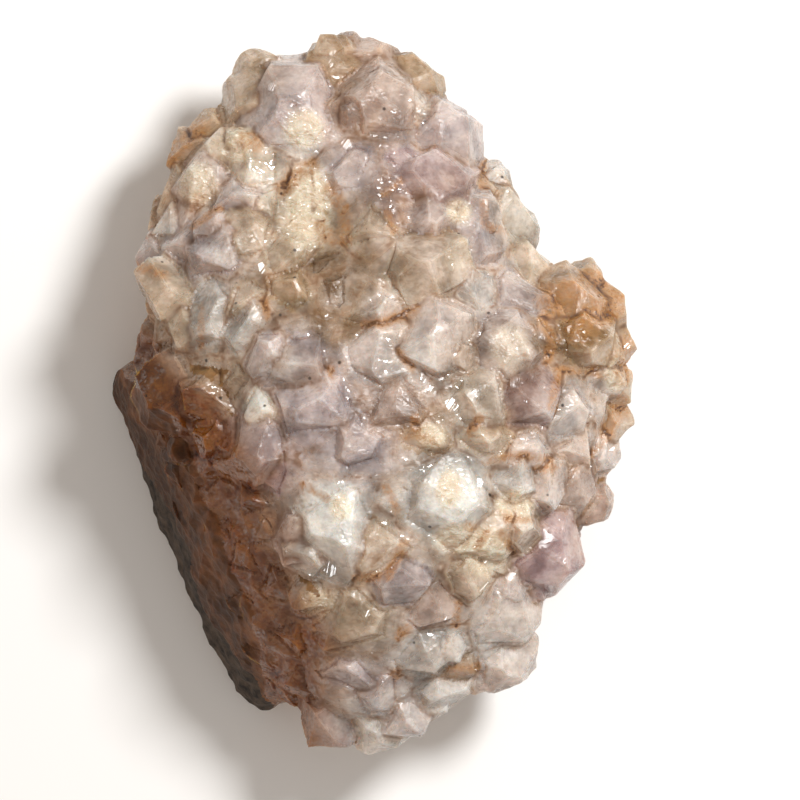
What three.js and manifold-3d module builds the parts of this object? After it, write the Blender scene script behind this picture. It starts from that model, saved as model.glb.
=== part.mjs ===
// Rough quartz: pale lilac and smoky crystals grown together on a broken base.
// It lies on the cut back of the base, with the crystals up.
// Millimetres, +Z up. X runs across the cluster, Y along it.

import * as THREE from 'three';
import { ConvexGeometry } from 'three/addons/geometries/ConvexGeometry.js';
import { mergeVertices } from 'three/addons/utils/BufferGeometryUtils.js';
import Module from 'manifold-3d';

// Driving dimensions
const crownHeight = 56;            // base surface under the crystals at the middle
const rimHeight = 33;              // the same surface at the edge of the crystals
const flankRimHeight = 48;         // and where it breaks off over the bare left flank
const rimShare = 0.87;             // how far out the edge lies, as a share of the outline
const flankRimShare = 0.56;
const crownPower = 2.3;            // roundness of the crown
const footFill = 4.5;              // quartz between the crystals' feet
const hollow = { x: -13, y: 37, across: 11, along: 15, depth: 9 };
const flankMiddle = -147;          // degrees around the middle, from +X
const flankFull = 36;              // degrees to each side where the flank is fully bare
const flankEnd = 49;               // degrees to each side where crystals cover it again
const pyramidSlope = 51.8;         // degrees between the long axis and a tip face's normal
const edgeLean = 52;               // degrees that crystals at the edge lean outward
const strayLean = 0.55;            // sideways stray of a crystal's axis
const baseSteps = 28;              // flats around the base
const baseRoughness = 1.3;         // unevenness of the broken faces

// One crystal's proportions, as shares of its width across
const middleToTip = 0.32;          // from the point that its place gives to its tip
const halfWidth = { least: 0.62, spread: 0.18 };
const largeTipFace = 0.03;         // how far the three large tip faces stand off the tip
const smallTipFace = { least: 0.05, spread: 0.13 };
const bluntFace = { count: 3, leastSlope: 5, mostSlope: 30, leastDepth: 0.12, mostDepth: 0.32 };
const bluntTurn = { first: 90, apart: 120, spread: 50 };   // degrees around the long axis
const rootLength = 1.3;
const plainTip = 9.5;              // a crystal narrower than this has three tip faces, in mm

// Outline of the whole cluster seen from above
const outline = [
  [58, 10], [54, 24], [42, 28], [34, 35], [31, 44], [22, 53], [14, 61], [11, 73], [3, 79],
  [-10, 80], [-28, 76], [-33, 66], [-43, 59], [-49, 45], [-54, 32], [-53, 20], [-59, 4],
  [-53, -12], [-50, -24], [-45, -36], [-39, -50], [-29, -68], [-21, -75], [-8, -80],
  [6, -80], [17, -73], [24, -68], [31, -65], [36, -51], [46, -42], [47, -32], [52, -26],
  [52, -17], [57, -5],
];

// Side of the base from the cut face up: [share of the outline, height]
const plainSide = [[0.72, 0], [0.78, 6], [0.83, 15], [0.87, 25]];
const flankSide = [[0.93, 0], [0.99, 6], [0.92, 20], [0.79, 36]];
const crownRings = [1, 0.86, 0.7, 0.52, 0.34, 0.17];   // shares of the crown's edge
const wasteSize = [200, 200, 60];                     // block cut away under the flat back

// Each crystal: x, y, width across, rise over the base surface, and where it matters
// the lean in degrees and the compass direction that it leans toward, from +X.
const crystals = [
  // Top edge
  [-25, 67, 15, 9, 36, 115], [-13, 71, 10, 6], [-3, 73, 15, 8, 38, 95], [8.5, 70.5, 12, 7, 42, 60],
  [-18, 58.5, 16, 10, 12, 250], [-4.5, 64, 9, 7], [1, 58, 11, 8, 26, 280], [9.5, 64, 9, 7, 40, 50],
  [11, 54.5, 12, 8], [20.5, 46.5, 8, 6],
  // Left hill
  [-37, 59.5, 10, 5, 50, 120], [-42, 54.5, 9, 4, 50, 140], [-33, 55, 10, 8], [-37, 49, 10, 8],
  [-31, 43.5, 9, 7], [-24.5, 48.5, 12, 8, 15, 300], [-23, 41, 8, 6], [-43, 45, 9, 6],
  [-47, 40.5, 7, 4], [-45.5, 36.5, 7, 6], [-49, 31, 10, 6, 45, 160], [-41, 31, 9, 7],
  [-33, 30, 11, 9, 12, 200], [-26, 32, 11, 7, 20, 330], [-27, 22.5, 8, 6],
  [-48, 24, 9, 4, 50, 170], [-33, 15, 12, 8, 10, 240], [-25.5, 15, 8, 7],
  [-41.5, 17, 7, 7, 55, 300], [-34.5, 2, 9, 6], [-27.5, 5.5, 8, 5], [-46, 13, 9, 3, 55, 185],
  [-45, 5, 9, 3, 55, 190],
  // Hollow with the stained floor
  [-14, 43, 11, 5], [-16, 34, 10, 4], [-8.5, 38, 8, 3], [-6, 27, 13, 6], [-17, 25, 9, 6],
  [-8, 18.5, 8, 5], [-15, 18, 9, 5],
  // Upper middle
  [-4, 47.5, 11, 7], [-0.5, 36.5, 8, 7], [9, 42.5, 12, 9, 14, 215], [10.5, 33.5, 11, 8, 16, 260],
  [19, 39, 7, 6], [20, 31, 13, 8, 18, 300], [26.5, 47, 9, 5, 40, 60], [29.5, 39, 14, 7, 35, 30],
  [4, 22.5, 11, 7, 52, 210], [11, 22, 9, 7], [19, 21, 9, 7],
  // Right side
  [29, 20.5, 11, 8], [36, 27, 9, 6], [44, 19, 15, 8, 25, 40], [51.5, 19, 12, 6, 42, 30],
  [47, 26, 8, 4, 45, 60], [43.5, 8.5, 10, 7], [50, 12, 8, 6], [54.5, 12, 8, 4, 50, 10],
  [25, 9.5, 13, 9, 15, 130], [31.5, -1, 13, 10, 14, 320], [42, -3.5, 12, 8], [50, 4, 9, 6],
  [54, -6, 8, 3, 50, 350], [33, -10, 10, 7], [44.5, -11.5, 8, 6], [51.5, -13.5, 10, 5, 48, 345],
  // Middle
  [-15.5, 7, 13, 10, 12, 120], [-21.5, 6, 7, 8], [-10, -2.5, 13, 10, 12, 330], [-21, -10, 11, 8],
  [0, 8, 13, 11, 14, 190], [12, 9, 14, 12, 14, 280], [0, 15.5, 8, 8], [4.5, -2.5, 9, 9],
  [-4, -11, 13, 9, 14, 250], [19, -2.5, 10, 9, 20, 210], [12, -6.5, 8, 7], [-28, -8, 8, 5],
  [-22, -17.5, 8, 6, 30, 220],
  // Left flank
  [-39, -6.5, 11, 4, 62, 300], [-35, -18.5, 14, 3.5, 50, 235], [-27, -23, 7, 4, 40, 215],
  [-33, -30, 12, 2.5, 52, 205], [-27.5, -36, 10, 3, 45, 225], [-46, -1, 9, 2.5, 55, 190],
  [-51, 6, 9, 2.5, 60, 185], [-22, -30, 9, 3, 35, 200], [-20, -42, 10, 3, 40, 240],
  [-28, -46, 12, 2, 52, 210], [-18, -52, 13, 2.5, 42, 220], [-25, -56, 10, 2, 55, 215],
  [-16, -63, 12, 2.5, 45, 230], [-21, -64, 9, 1.5, 55, 220],
  // Lower middle, with the two large milky crystals
  [-8.5, -27.5, 17, 12, 12, 150], [-15.5, -33.5, 9, 9, 32, 230], [0.5, -33, 11, 10, 18, 320],
  [15, -19.5, 16, 12, 12, 60], [29.5, -17, 8, 8], [35.5, -20.5, 9, 8], [44.5, -20, 12, 7, 38, 345],
  [50, -26, 7, 3, 50, 320], [37, -36.5, 15, 10, 26, 310], [19, -31, 12, 9], [27.5, -25, 8, 7],
  [25, -35.5, 9, 8], [18.5, -40, 8, 7], [7.5, -38, 9, 9], [13.5, -46.5, 11, 8],
  // Lower edge
  [-3.5, -48.5, 14, 9, 24, 265], [-12, -44, 7, 5], [11, -57, 12, 8, 35, 290],
  [28, -50, 15, 9, 38, 300], [28, -62, 11, 6, 45, 290], [-6, -61, 10, 6], [2, -66, 11, 6, 40, 280],
  [6, -71.5, 8, 5], [14, -67, 11, 6, 45, 290], [1, -76, 11, 4, 52, 270], [-11, -75, 9, 4, 50, 250],
];

const wasm = await Module();
wasm.setup();

const degrees = Math.PI / 180;
const nearly = 1e-5;
const samePlace = 1e-3;

// A repeatable draw between 0 and 1, one for each place and each use
function draw(x, y, use) {
  const value = Math.sin(x * 3.17 + y * 7.93 + use * 12.9898) * 43758.5453;
  return value - Math.floor(value);
}

function mix(from, to, share) {
  return from + (to - from) * share;
}

const outlineByAngle = outline
  .map(([x, y]) => ({ angle: Math.atan2(y, x), reach: Math.hypot(x, y) }))
  .sort((first, second) => first.angle - second.angle);

// Distance from the middle to the outline in a given direction
function outlineReach(angle) {
  const count = outlineByAngle.length;
  let next = outlineByAngle.findIndex((point) => point.angle > angle);
  let turn = 0;
  if (next < 0) {
    next = 0;
    turn = 2 * Math.PI;
  }
  const before = outlineByAngle[(next + count - 1) % count];
  const after = outlineByAngle[next];
  const start = next === 0 && turn === 0 ? before.angle - 2 * Math.PI : before.angle;
  const share = (angle - start) / (after.angle + turn - start);
  return mix(before.reach, after.reach, share);
}

// 1 on the bare left flank, 0 where crystals reach the edge
function flankShare(angle) {
  const off = Math.abs(((angle / degrees - flankMiddle + 540) % 360) - 180);
  return 1 - THREE.MathUtils.smoothstep(off, flankFull, flankEnd);
}

// Height of the surface that the crystals grow from
function baseSurface(x, y) {
  const angle = Math.atan2(y, x);
  const flank = flankShare(angle);
  const share = Math.hypot(x, y) / outlineReach(angle);
  const rim = mix(rimHeight, flankRimHeight, flank);
  const out = share / mix(rimShare, flankRimShare, flank);
  const sunk = Math.exp(-(((x - hollow.x) / hollow.across) ** 2) - ((y - hollow.y) / hollow.along) ** 2);
  const height = rim + (crownHeight - rim) * (1 - out ** crownPower) - hollow.depth * sunk;
  return out <= 1 ? height : mix(height, flankHeight(share), flank);
}

// Height of the bare flank at a share of the outline
function flankHeight(share) {
  const levels = [[flankRimShare, flankRimHeight], ...flankSide.slice(1).reverse()];
  const outer = levels.findIndex((level) => level[0] > share);
  if (outer < 1) {
    return levels.at(outer)[1];
  }
  const [fromShare, fromHeight] = levels[outer - 1];
  const [toShare, toHeight] = levels[outer];
  return mix(fromHeight, toHeight, (share - fromShare) / (toShare - fromShare));
}

// The way a crystal points
function crystalAxis([x, y, , , lean, toward]) {
  if (lean !== undefined) {
    const side = Math.sin(lean * degrees);
    const up = Math.cos(lean * degrees);
    return new THREE.Vector3(side * Math.cos(toward * degrees), side * Math.sin(toward * degrees), up);
  }
  const angle = Math.atan2(y, x);
  const out = Math.min(1, Math.hypot(x, y) / outlineReach(angle));
  const outward = edgeLean * degrees * out ** 3;
  const strayX = strayLean * (2 * draw(x, y, 1) - 1);
  const strayY = strayLean * (2 * draw(x, y, 2) - 1);
  return new THREE.Vector3(
    Math.sin(outward) * Math.cos(angle) + strayX,
    Math.sin(outward) * Math.sin(angle) + strayY,
    Math.cos(outward),
  ).normalize();
}

// The faces of one crystal: a six-sided prism under three large and three small tip faces,
// with blunt faces over the very tip and the root buried in the base
function crystalFaces(crystal) {
  const [x, y, across, rise] = crystal;
  const axis = crystalAxis(crystal);
  const middle = new THREE.Vector3(x, y, baseSurface(x, y) + rise - middleToTip * across);
  const tip = middle.clone().addScaledVector(axis, middleToTip * across);
  const turn = draw(x, y, 3) * 60;
  const faces = [];
  for (let side = 0; side < 6; side += 1) {
    const outward = tiltedNormal(axis, turn + side * 60, 90);
    const reach = across * (halfWidth.least + halfWidth.spread * draw(x, y, 10 + side));
    faces.push({ normal: outward, offset: outward.dot(middle) + reach });
    const sloping = tiltedNormal(axis, turn + side * 60, pyramidSlope);
    const small = side % 2 === 1;
    const smallGap = smallTipFace.least + smallTipFace.spread * draw(x, y, 20 + side);
    if (!small || across >= plainTip) {
      faces.push({ normal: sloping, offset: sloping.dot(tip) + across * (small ? smallGap : largeTipFace) });
    }
  }
  for (let side = 0; side < bluntFace.count; side += 1) {
    const stray = bluntTurn.spread * draw(x, y, 40 + side);
    const around = turn + bluntTurn.first + bluntTurn.apart * side + stray;
    const slope = mix(bluntFace.leastSlope, bluntFace.mostSlope, draw(x, y, 50 + side));
    const depth = mix(bluntFace.leastDepth, bluntFace.mostDepth, draw(x, y, 60 + side));
    const blunt = tiltedNormal(axis, around, slope);
    faces.push({ normal: blunt, offset: blunt.dot(tip) - across * depth });
  }
  const root = axis.clone().negate();
  faces.push({ normal: root, offset: root.dot(tip) + rootLength * across + rise });
  return faces;
}

// The outward direction of a face: around is the turn about the long axis, slope the angle off it
function tiltedNormal(axis, around, slope) {
  const sideways = new THREE.Vector3(1, 0, 0).addScaledVector(axis, -axis.x).normalize();
  const other = new THREE.Vector3().crossVectors(axis, sideways);
  return new THREE.Vector3()
    .addScaledVector(sideways, Math.sin(slope * degrees) * Math.cos(around * degrees))
    .addScaledVector(other, Math.sin(slope * degrees) * Math.sin(around * degrees))
    .addScaledVector(axis, Math.cos(slope * degrees));
}

// The corners where three faces meet and no other face cuts them off
function faceCorners(faces) {
  const corners = [];
  for (let a = 0; a < faces.length; a += 1) {
    for (let b = a + 1; b < faces.length; b += 1) {
      for (let c = b + 1; c < faces.length; c += 1) {
        const corner = meetingPoint(faces[a], faces[b], faces[c]);
        const inside = corner && faces.every((face) => face.normal.dot(corner) < face.offset + nearly);
        if (inside && corners.every((known) => known.distanceTo(corner) > samePlace)) {
          corners.push(corner);
        }
      }
    }
  }
  return corners;
}

function meetingPoint(first, second, third) {
  const crossed = new THREE.Vector3().crossVectors(second.normal, third.normal);
  const volume = first.normal.dot(crossed);
  if (Math.abs(volume) < nearly) {
    return null;
  }
  const point = crossed.multiplyScalar(first.offset);
  point.addScaledVector(new THREE.Vector3().crossVectors(third.normal, first.normal), second.offset);
  point.addScaledVector(new THREE.Vector3().crossVectors(first.normal, second.normal), third.offset);
  return point.divideScalar(volume);
}

// The broken base: a turned profile, one ring a level, pulled out to the outline and roughened
function baseGeometry() {
  const levels = plainSide.length + crownRings.length;
  const profile = [new THREE.Vector2(0, 0)];
  for (let level = 0; level < levels; level += 1) {
    profile.push(new THREE.Vector2(1, level));
  }
  profile.push(new THREE.Vector2(0, levels - 1));
  const geometry = new THREE.LatheGeometry(profile, baseSteps);
  const position = geometry.attributes.position;
  for (let index = 0; index < position.count; index += 1) {
    const turn = Math.floor(index / profile.length) % baseSteps;
    const place = basePoint((index % profile.length) - 1, turn * (360 / baseSteps) * degrees);
    position.setXYZ(index, place.x, place.y, place.z);
  }
  return geometry;
}

// Where one point of the profile ends up: the cut face, the side or the crown under the crystals
function basePoint(level, turn) {
  const angle = turn > Math.PI ? turn - 2 * Math.PI : turn;
  const flank = flankShare(angle);
  const rough = baseRoughness * (2 * draw(level, turn, 7) - 1);
  const outward = new THREE.Vector3(Math.cos(angle), Math.sin(angle), 0);
  if (level < 0) {
    return new THREE.Vector3(0, 0, 0);
  }
  if (level < plainSide.length) {
    const share = mix(plainSide[level][0], flankSide[level][0], flank);
    const height = mix(plainSide[level][1], flankSide[level][1], flank);
    const lift = level > 0 ? rough : 0;
    return outward.multiplyScalar(share * outlineReach(angle) + rough).setZ(height + lift);
  }
  const ring = crownRings[level - plainSide.length];
  if (ring === undefined) {
    return new THREE.Vector3(0, 0, baseSurface(0, 0) + footFill);
  }
  const edge = mix(rimShare, flankRimShare, flank) * outlineReach(angle);
  const place = outward.multiplyScalar(ring * edge);
  return place.setZ(baseSurface(place.x, place.y) + footFill * (1 - ring ** 4) + rough);
}

// A closed mesh as a solid that can be joined and cut
function solidFrom(geometry) {
  geometry.deleteAttribute('normal');
  geometry.deleteAttribute('uv');
  const merged = mergeVertices(geometry, samePlace);
  return new wasm.Manifold(new wasm.Mesh({
    numProp: 3,
    vertProperties: Float32Array.from(merged.attributes.position.array),
    triVerts: Uint32Array.from(merged.index.array),
  }));
}

function geometryFrom(solid) {
  const mesh = solid.getMesh();
  const geometry = new THREE.BufferGeometry();
  geometry.setAttribute('position', new THREE.BufferAttribute(mesh.vertProperties, 3));
  geometry.setIndex(new THREE.BufferAttribute(mesh.triVerts, 1));
  return geometry;
}

// Pockets that crystals close off between them are solid quartz
function outerShell(solid) {
  return solid.decompose().reduce((largest, shell) => (shell.volume() > largest.volume() ? shell : largest));
}

// The cluster: base and crystals grown into one solid, cut off flat underneath
function clusterGeometry() {
  let cluster = solidFrom(baseGeometry());
  for (const crystal of crystals) {
    cluster = cluster.add(solidFrom(new ConvexGeometry(faceCorners(crystalFaces(crystal)))));
  }
  const waste = new THREE.BoxGeometry(...wasteSize).translate(0, 0, -wasteSize[2] / 2);
  const geometry = geometryFrom(outerShell(cluster.subtract(solidFrom(waste))));
  geometry.computeBoundingBox();
  const centre = geometry.boundingBox.getCenter(new THREE.Vector3());
  return geometry.translate(-centre.x, -centre.y, -geometry.boundingBox.min.z);
}

const quartz = new THREE.MeshStandardMaterial({ color: '#c3b3a9', roughness: 0.35, metalness: 0 });
const cluster = new THREE.Mesh(clusterGeometry(), quartz);
cluster.name = 'quartz_cluster';

const roughQuartz = new THREE.Group();
roughQuartz.add(cluster);

export default roughQuartz;
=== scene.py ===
import itertools
import math
from functools import partial
import bmesh
import bpy
import numpy as np
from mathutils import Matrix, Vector
from mathutils.bvhtree import BVHTree


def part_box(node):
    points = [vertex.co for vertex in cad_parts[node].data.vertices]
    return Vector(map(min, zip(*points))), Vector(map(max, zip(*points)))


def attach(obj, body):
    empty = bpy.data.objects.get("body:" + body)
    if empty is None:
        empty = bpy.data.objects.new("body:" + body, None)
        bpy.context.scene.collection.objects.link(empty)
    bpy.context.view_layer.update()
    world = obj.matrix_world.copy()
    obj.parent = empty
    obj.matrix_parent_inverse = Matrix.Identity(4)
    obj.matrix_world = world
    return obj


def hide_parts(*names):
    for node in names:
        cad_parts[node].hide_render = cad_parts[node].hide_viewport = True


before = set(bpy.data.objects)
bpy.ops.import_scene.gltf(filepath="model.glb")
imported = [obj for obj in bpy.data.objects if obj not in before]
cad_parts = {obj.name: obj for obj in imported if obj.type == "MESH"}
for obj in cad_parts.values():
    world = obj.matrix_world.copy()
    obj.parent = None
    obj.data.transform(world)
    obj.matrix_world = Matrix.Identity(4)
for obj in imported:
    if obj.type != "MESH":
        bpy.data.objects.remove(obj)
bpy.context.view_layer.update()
mm = 0.001

# Everything about the stone is written in millimetres here and turned to metres when a mesh is made.

# The crust that the crystals grow from, as in the CAD solid
crust = {
    "crown": 56, "rim": 33, "flankRim": 48,
    "rimShare": 0.87, "flankRimShare": 0.56, "power": 2.3,
    "hollow": (-13, 37, 11, 15, 9),          # x, y, across, along, depth
    "flankMiddle": -147, "flankFull": 36, "flankEnd": 49,
    "fill": 4.5,                             # quartz between the crystals' feet
    "rindTop": (7, 19), "rindMiddle": -133, "rindEnds": (14, 34),
}
outline = [
    (58, 10), (54, 24), (42, 28), (34, 35), (31, 44), (22, 53), (14, 61), (11, 73), (3, 79), (-10, 80),
    (-28, 76), (-33, 66), (-43, 59), (-49, 45), (-54, 32), (-53, 20), (-59, 4), (-53, -12), (-50, -24),
    (-45, -36), (-39, -50), (-29, -68), (-21, -75), (-8, -80), (6, -80), (17, -73), (24, -68), (31, -65),
    (36, -51), (46, -42), (47, -32), (52, -26), (52, -17), (57, -5),
]
plainSide = [(0.72, 0), (0.78, 6), (0.83, 15), (0.87, 25)]
flankSide = [(0.93, 0), (0.99, 6), (0.92, 20), (0.79, 36)]
crownRings = [1, 0.86, 0.7, 0.52, 0.34, 0.17]

# How a quartz crystal of this cluster is shaped, as shares of its width
habit = {
    "pyramidSlope": 51.8, "edgeLean": 52, "stray": 0.55, "middleToTip": 0.32,
    "halfWidth": (0.62, 0.18), "largeTipFace": 0.03, "smallTipFace": (0.05, 0.13),
    "bluntSlope": (5, 30), "bluntDepth": (0.12, 0.32), "root": 1.3, "plainTip": 9.5,
}

# Tones that this quartz shows: iron and radiation colour it, gas and water make it milky; the umber tone is
# also darkened as painted shade, for crystals on the shaded left side
tones = {
    "milk": "#ebe6df", "lilac": "#c3b1b6", "mauve": "#ae8a90", "pink": "#b89a8f",
    "beige": "#bfa48b", "tan": "#a68254", "smoke": "#8c673e", "cream": "#dfcab6",
    "pale": "#d6cdcb", "rust": "#a17439", "rose": "#dac7c3", "umber": "#6e4c38",
}

leastInCad = 7    # the CAD solid has no narrower crystals

# Each crystal: tone, x, y, width, rise, and where it matters its lean and direction
crystals = [
    # Top edge
    ("beige", -25, 67, 15, 9, 36, 115), ("tan", -13, 71, 10, 6), ("pink", -3, 73, 15, 8, 38, 95),
    ("tan", 8.5, 70.5, 12, 7, 42, 60), ("lilac", -18, 58.5, 16, 10, 12, 250), ("pink", -4.5, 64, 9, 7),
    ("pink", 1, 58, 11, 8, 26, 280), ("pale", 9.5, 64, 9, 7, 40, 50), ("lilac", 11, 54.5, 12, 8),
    ("tan", 20.5, 46.5, 8, 6),
    # Left hill
    ("tan", -37, 59.5, 10, 5, 50, 120), ("tan", -42, 54.5, 9, 4, 50, 140), ("cream", -33, 55, 10, 8),
    ("lilac", -37, 49, 10, 8), ("lilac", -31, 43.5, 9, 7), ("cream", -24.5, 48.5, 12, 8, 15, 300),
    ("cream", -23, 41, 8, 6), ("beige", -43, 45, 9, 6), ("tan", -47, 40.5, 7, 4),
    ("pale", -45.5, 36.5, 7, 6), ("lilac", -49, 31, 10, 6, 45, 160), ("lilac", -41, 31, 9, 7),
    ("lilac", -33, 30, 11, 9, 12, 200), ("beige", -26, 32, 11, 7, 20, 330), ("beige", -27, 22.5, 8, 6),
    ("tan", -48, 24, 9, 4, 50, 170), ("pale", -33, 15, 12, 8, 10, 240), ("pale", -25.5, 15, 8, 7),
    ("cream", -41.5, 17, 7, 7, 55, 300), ("cream", -39, 11, 6, 5, 55, 290), ("beige", -34.5, 2, 9, 6),
    # The umber crystal on the next line is darkened as painted shade
    ("beige", -27.5, 5.5, 8, 5), ("tan", -46, 13, 9, 3, 55, 185), ("umber", -45, 5, 9, 3, 55, 190),
    # Hollow with the stained floor
    ("cream", -14, 43, 11, 5), ("cream", -16, 34, 10, 4), ("rust", -8.5, 38, 8, 3),
    ("smoke", -6, 27, 13, 6), ("beige", -17, 25, 9, 6), ("smoke", -8, 18.5, 8, 5), ("tan", -15, 18, 9, 5),
    # Upper middle
    ("lilac", -4, 47.5, 11, 7), ("beige", -0.5, 36.5, 8, 7), ("mauve", 9, 42.5, 12, 9, 14, 215),
    ("lilac", 10.5, 33.5, 11, 8, 16, 260), ("cream", 19, 39, 7, 6), ("lilac", 20, 31, 13, 8, 18, 300),
    ("pale", 26.5, 47, 9, 5, 40, 60), ("pale", 29.5, 39, 14, 7, 35, 30), ("beige", 4, 22.5, 11, 7, 52, 210),
    ("pink", 11, 22, 9, 7), ("pale", 19, 21, 9, 7),
    # Right side
    ("lilac", 29, 20.5, 11, 8), ("cream", 36, 27, 9, 6), ("rust", 44, 19, 15, 8, 25, 40),
    ("tan", 51.5, 19, 12, 6, 42, 30), ("beige", 47, 26, 8, 4, 45, 60), ("tan", 43.5, 8.5, 10, 7),
    ("tan", 50, 12, 8, 6), ("beige", 54.5, 12, 8, 4, 50, 10), ("smoke", 36.5, 11, 6, 5),
    ("lilac", 25, 9.5, 13, 9, 15, 130), ("mauve", 31.5, -1, 13, 10, 14, 320), ("rose", 42, -3.5, 12, 8),
    ("rose", 50, 4, 9, 6), ("cream", 55, 1.5, 6, 3, 50, 0), ("tan", 54, -6, 8, 3, 50, 350),
    ("rose", 33, -10, 10, 7), ("rose", 44.5, -11.5, 8, 6), ("rose", 51.5, -13.5, 10, 5, 48, 345),
    # Middle
    ("lilac", -15.5, 7, 13, 10, 12, 120), ("lilac", -21.5, 6, 7, 8), ("lilac", -10, -2.5, 13, 10, 12, 330),
    ("lilac", -21, -10, 11, 8), ("rose", 0, 8, 13, 11, 14, 190), ("rose", 12, 9, 14, 12, 14, 280),
    ("rose", 0, 15.5, 8, 8), ("pink", 4.5, -2.5, 9, 9), ("lilac", -4, -11, 13, 9, 14, 250),
    ("pale", 19, -2.5, 10, 9, 20, 210), ("rust", 12, -6.5, 8, 7), ("cream", 21.5, -8, 6, 8),
    ("milk", -24.7, -2.7, 6, 7), ("mauve", -28, -8, 8, 5), ("mauve", -22, -17.5, 8, 6, 30, 220),
    # Left flank: the umber crystals here are darker as painted shade
    ("tan", -39, -6.5, 11, 4, 62, 300), ("tan", -45, -9.5, 4.5, 3, 40, 200),
    ("smoke", -41.5, -12.7, 5, 3.5, 30, 230), ("smoke", -43, -17.5, 4.5, 3, 40, 200),
    ("tan", -33, -7, 6, 5), ("tan", -35, -18.5, 14, 3.5, 50, 235), ("smoke", -27, -23, 7, 4, 40, 215),
    ("smoke", -33, -30, 12, 2.5, 52, 205), ("tan", -27.5, -36, 10, 3, 45, 225),
    ("umber", -46, -1, 9, 2.5, 55, 190), ("umber", -51, 6, 9, 2.5, 60, 185),
    ("tan", -22, -30, 9, 3, 35, 200), ("tan", -20, -42, 10, 3, 40, 240),
    ("smoke", -28, -46, 12, 2, 52, 210), ("tan", -18, -52, 13, 2.5, 42, 220),
    ("smoke", -25, -56, 10, 2, 55, 215), ("tan", -16, -63, 12, 2.5, 45, 230),
    ("smoke", -21, -64, 9, 1.5, 55, 220),
    # Lower middle, with the two large milky crystals
    ("pale", -8.5, -27.5, 17, 12, 12, 150), ("lilac", -15.5, -33.5, 9, 9, 32, 230),
    ("beige", 0.5, -33, 11, 10, 18, 320), ("pale", 15, -19.5, 16, 12, 12, 60), ("pale", 29.5, -17, 8, 8),
    ("rose", 35.5, -20.5, 9, 8), ("pink", 44.5, -20, 12, 7, 38, 345), ("pink", 50, -26, 7, 3, 50, 320),
    ("mauve", 37, -36.5, 15, 10, 26, 310), ("cream", 19, -31, 12, 9), ("cream", 27.5, -25, 8, 7),
    ("beige", 25, -35.5, 9, 8), ("beige", 18.5, -40, 8, 7), ("lilac", 7.5, -38, 9, 9),
    ("pink", 13.5, -46.5, 11, 8),
    # Lower edge
    ("beige", -3.5, -48.5, 14, 9, 24, 265), ("cream", -12, -44, 7, 5), ("pale", 11, -57, 12, 8, 35, 290),
    ("rust", 19.5, -58, 6, 4), ("rose", 28, -50, 15, 9, 38, 300), ("rose", 28, -62, 11, 6, 45, 290),
    ("lilac", -6, -61, 10, 6), ("lilac", 2, -66, 11, 6, 40, 280), ("lilac", 6, -71.5, 8, 5),
    ("pale", 14, -67, 11, 6, 45, 290), ("pale", 1, -76, 11, 4, 52, 270), ("lilac", -11, -75, 9, 4, 50, 250),
]


outlineByAngle = sorted((math.atan2(y, x), math.hypot(x, y)) for x, y in outline)
outlineAngles, outlineReaches = np.array(outlineByAngle).T


def mix(low, high, share):
    return low + (high - low) * share


def smoothStep(value, low, high):
    share = np.clip((value - low) / (high - low), 0, 1)
    return share * share * (3 - 2 * share)


def draw(x, y, use):    # a repeatable number from 0 to 1 for each place and use
    value = math.sin(x * 3.17 + y * 7.93 + use * 12.9898) * 43758.5453
    return value - math.floor(value)


def outlineReach(angle):
    return np.interp(angle, outlineAngles, outlineReaches, period=2 * math.pi)


def placeAt(angle, share):    # x and y at a share of the outline's reach
    reach = share * outlineReach(angle)
    return reach * math.cos(angle), reach * math.sin(angle)


def angleOff(angle, middle):    # in degrees
    return np.abs((np.degrees(angle) - middle + 540) % 360 - 180)


def flankShare(angle):    # 1 on the bare left flank
    return 1 - smoothStep(angleOff(angle, crust["flankMiddle"]), crust["flankFull"], crust["flankEnd"])


def crustHeight(x, y):
    angle = math.atan2(y, x)
    flank = flankShare(angle)
    edge = mix(crust["rimShare"], crust["flankRimShare"], flank) * outlineReach(angle)
    rim = mix(crust["rim"], crust["flankRim"], flank)
    hx, hy, across, along, depth = crust["hollow"]
    sunk = math.exp(-((x - hx) / across) ** 2 - ((y - hy) / along) ** 2)
    out = math.hypot(x, y) / edge
    height = rim + (crust["crown"] - rim) * (1 - out ** crust["power"]) - depth * sunk
    if out <= 1:
        return height
    share = math.hypot(x, y) / outlineReach(angle)
    levels = [(crust["flankRimShare"], crust["flankRim"])] + flankSide[:0:-1]
    return mix(height, np.interp(share, *zip(*levels)), flank)


def leanAxis(lean, toward):
    side = math.sin(math.radians(lean))
    turn = math.radians(toward)
    return np.array([side * math.cos(turn), side * math.sin(turn), math.cos(math.radians(lean))])


def outwardAxis(x, y, stray):
    angle = math.atan2(y, x)
    out = min(1, math.hypot(x, y) / outlineReach(angle))
    outward = math.radians(habit["edgeLean"]) * out ** 3
    axis = np.array([
        math.sin(outward) * math.cos(angle) + stray * (2 * draw(x, y, 1) - 1),
        math.sin(outward) * math.sin(angle) + stray * (2 * draw(x, y, 2) - 1),
        math.cos(outward)])
    return axis / np.linalg.norm(axis)


def sideways(axis, guide=(1.0, 0, 0)):    # two directions across an axis
    first = np.array(guide) - np.dot(guide, axis) * axis
    first /= np.linalg.norm(first)
    return first, np.cross(axis, first)


def turnedTo(angle, first, second):
    return math.cos(angle) * first + math.sin(angle) * second


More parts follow.
